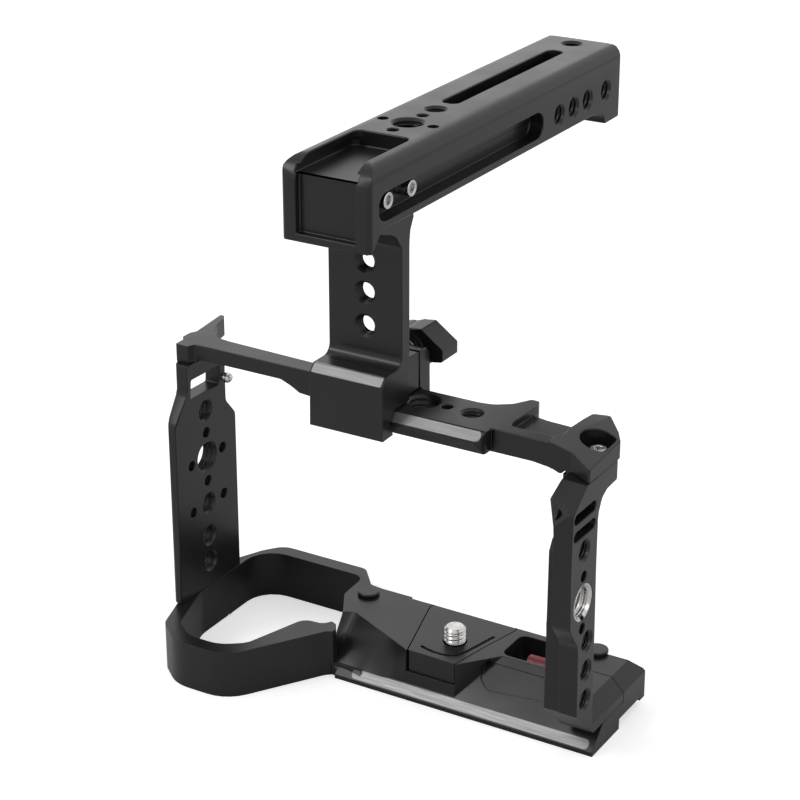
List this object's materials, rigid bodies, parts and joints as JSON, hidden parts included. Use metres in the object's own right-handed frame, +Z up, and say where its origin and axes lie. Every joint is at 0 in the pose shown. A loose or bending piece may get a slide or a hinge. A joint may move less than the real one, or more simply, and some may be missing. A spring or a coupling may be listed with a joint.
{
  "type": "camera cage",
  "caption": "Open aluminium cage for a mirrorless camera, with a ring round the grip, a top rail and a clamped carrying handle.",
  "frame": {"origin": "the camera screw's axis at the seat face on which the camera stands", "axes": "+X to the viewer's right seen from the front, +Y to the rear, +Z up along the camera screw"},
  "size_m": [0.1391, 0.149, 0.1654],
  "materials": {
    "anodised": "black anodised, satin, with bare bevels on the rail, the clamp and the front strip",
    "stainless": "turned, bright",
    "tool_red": "dull red",
    "magnet": "plated"
  },
  "bodies": {
    "cage": {"base_plate": "anodised", "seat_pad": "anodised", "pad_screws": "stainless", "anti_twist_pads": "anodised", "tool_magnet": "magnet", "grip_side_plate": "anodised", "ring_screws": "stainless", "ball_screw": "stainless", "plate_screws": "stainless", "top_bar": "anodised", "side_arm": "anodised", "arm_insert": "stainless", "foot_screws": "stainless", "corner_screw": "stainless"},
    "screw": {"camera_screw": "stainless", "screw_clip": "stainless"},
    "tool": {"tool_handle": "tool_red", "tool_shank": "stainless"},
    "carriage": {"clamp_riser": "anodised", "guide_pins": "stainless", "handle_bar": "anodised", "handle_screws": "stainless"},
    "jaw": {"rear_jaw": "anodised", "knob_washer": "stainless"},
    "knob": {"wing_knob": "anodised", "clamp_screw": "stainless", "screw_retainer": "stainless"}
  },
  "joints": [
    {"name": "camera_screw_turn", "type": "hinge", "parent": "cage", "child": "screw", "pos_m": [0, 0, 0], "axis": [0, 0, 1], "continuous": true},
    {"name": "tool_slide", "type": "slide", "parent": "cage", "child": "tool", "axis": [-1, 0, 0], "range_m": [0, 0.0045]},
    {"name": "carriage_slide", "type": "slide", "parent": "cage", "child": "carriage", "axis": [1, 0, 0], "range_m": [0, 0.016]},
    {"name": "jaw_slide", "type": "slide", "parent": "carriage", "child": "jaw", "axis": [0, 1, 0], "range_m": [0, 0.0025]},
    {"name": "knob_turn", "type": "hinge", "parent": "jaw", "child": "knob", "pos_m": [-0.0185, 0, 0.0855], "axis": [0, 1, 0], "range_deg": [0, 1125]}
  ],
  "couplings": [
    {"joint": "knob_turn", "follows": "jaw_slide", "rad_per_m": 7853.9}
  ]
}
